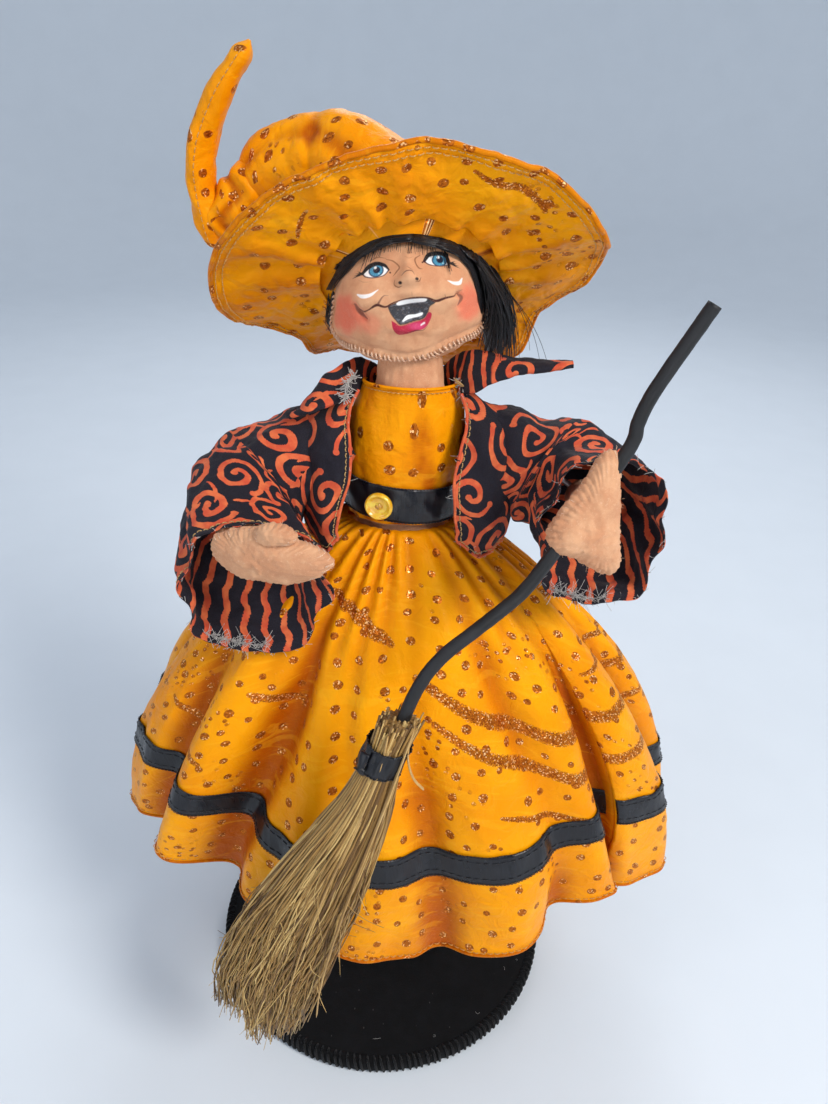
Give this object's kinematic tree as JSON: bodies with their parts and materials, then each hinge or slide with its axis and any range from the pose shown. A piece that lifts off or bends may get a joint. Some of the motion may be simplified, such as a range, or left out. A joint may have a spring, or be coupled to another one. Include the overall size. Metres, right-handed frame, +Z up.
{
  "type": "witch figure",
  "caption": "Poseable stitched-felt witch figure in an orange dress, swirl-print jacket and bent hat, holding a straw broom on a round felt-covered stand.",
  "frame": {"origin": "centre of the stand's underside, on the table", "axes": "+Z up the figure; the figure faces -Y and its left side is +X"},
  "size_m": [0.1772, 0.1326, 0.2809],
  "materials": {
    "black_felt": "thick brushed black felt",
    "stand_board": "raw fibreboard",
    "armature_steel": "galvanised soft wire",
    "black_knit": "fine black knit",
    "flesh_felt": "brushed flesh-coloured felt",
    "gold_organza": "sheer golden-orange organza over lining, with copper glitter dots",
    "gold_lining": "plain golden-orange lining",
    "black_satin": "black satin ribbon, glossy",
    "swirl_cotton": "near-black cotton printed with orange swirls",
    "amber_button": "translucent amber plastic",
    "black_hair": "straight black synthetic hair",
    "charcoal_handle": "matt charcoal covering over wire",
    "broom_straw": "dry natural straw",
    "broom_splint": "flat dry splints"
  },
  "bodies": {
    "stand": {"base_board": "stand_board", "base_felt_top": "black_felt", "base_felt_bottom": "black_felt", "base_edge_stitch": "black_felt", "boot_left": "black_felt", "boot_right": "black_felt", "foot_wire_left": "armature_steel", "foot_wire_right": "armature_steel"},
    "legs": {"leg_left": "black_knit", "leg_right": "black_knit", "leg_wire_left": "armature_steel", "leg_wire_right": "armature_steel", "hips": "flesh_felt"},
    "trunk": {"torso": "flesh_felt", "spine_wire": "armature_steel", "shoulder_wire": "armature_steel", "bodice": "gold_organza", "skirt": "gold_organza", "underskirt": "gold_lining", "skirt_ribbon": "black_satin", "waist_ribbon": "black_satin", "waist_button": "amber_button", "jacket_back": "swirl_cotton", "jacket_front_left": "swirl_cotton", "jacket_front_right": "swirl_cotton", "collar_left": "swirl_cotton", "collar_right": "swirl_cotton"},
    "neck": {"neck": "flesh_felt"},
    "head": {"head_front": "flesh_felt", "head_back": "flesh_felt", "head_pin": "armature_steel", "hair": "black_hair", "hat_brim_top": "gold_organza", "hat_brim_lining": "gold_lining", "hat_crown": "gold_organza", "hat_crown_wire": "armature_steel"},
    "hat_tip": {"hat_tip": "gold_organza", "hat_tip_wire": "armature_steel"},
    "upper_arm_left": {"upper_arm_left": "flesh_felt", "upper_arm_wire_left": "armature_steel", "sleeve_upper_left": "swirl_cotton"},
    "forearm_left": {"forearm_left": "flesh_felt", "forearm_wire_left": "armature_steel", "hand_left": "flesh_felt", "sleeve_lower_left": "swirl_cotton"},
    "upper_arm_right": {"upper_arm_right": "flesh_felt", "upper_arm_wire_right": "armature_steel", "sleeve_upper_right": "swirl_cotton"},
    "forearm_right": {"forearm_right": "flesh_felt", "forearm_wire_right": "armature_steel", "hand_right": "flesh_felt", "sleeve_lower_right": "swirl_cotton"},
    "broom": {"broom_handle": "charcoal_handle", "broom_straw": "broom_straw", "broom_splints": "broom_splint", "broom_tie": "black_satin"}
  },
  "joints": [
    {"name": "stand_lean", "type": "hinge", "parent": "stand", "child": "legs", "pos_m": [0, 0, 0.034], "axis": [1, 0, 0], "range_deg": [-4, 4]},
    {"name": "waist_twist", "type": "hinge", "parent": "legs", "child": "trunk", "pos_m": [0.003, -0.005, 0.149], "axis": [0, 0, 1], "range_deg": [-20, 20]},
    {"name": "neck_turn", "type": "hinge", "parent": "trunk", "child": "neck", "pos_m": [0.003, -0.005, 0.2035], "axis": [0, 0, 1], "range_deg": [-12, 12]},
    {"name": "head_nod", "type": "hinge", "parent": "neck", "child": "head", "pos_m": [0.003, -0.005, 0.217], "axis": [1, 0, 0], "range_deg": [-3, 10]},
    {"name": "hat_tip_bend", "type": "hinge", "parent": "head", "child": "hat_tip", "pos_m": [-0.0436, 0.02, 0.244], "axis": [0, 1, 0], "range_deg": [-25, 3]},
    {"name": "shoulder_left", "type": "hinge", "parent": "trunk", "child": "upper_arm_left", "pos_m": [0.023, -0.003, 0.198], "axis": [0, -1, 0], "range_deg": [0, 18]},
    {"name": "elbow_left", "type": "hinge", "parent": "upper_arm_left", "child": "forearm_left", "pos_m": [0.049, -0.008, 0.181], "axis": [-1, 0, 0], "range_deg": [0, 15]},
    {"name": "broom_twist", "type": "hinge", "parent": "forearm_left", "child": "broom", "pos_m": [0.0414, -0.0478, 0.195], "axis": [-0.5209, -0.216, -0.8258], "range_deg": [0, 20]},
    {"name": "shoulder_right", "type": "hinge", "parent": "trunk", "child": "upper_arm_right", "pos_m": [-0.017, -0.003, 0.197], "axis": [0, 1, 0], "range_deg": [0, 35]},
    {"name": "elbow_right", "type": "hinge", "parent": "upper_arm_right", "child": "forearm_right", "pos_m": [-0.045, -0.012, 0.179], "axis": [0, 0, 1], "range_deg": [-20, 0]}
  ]
}
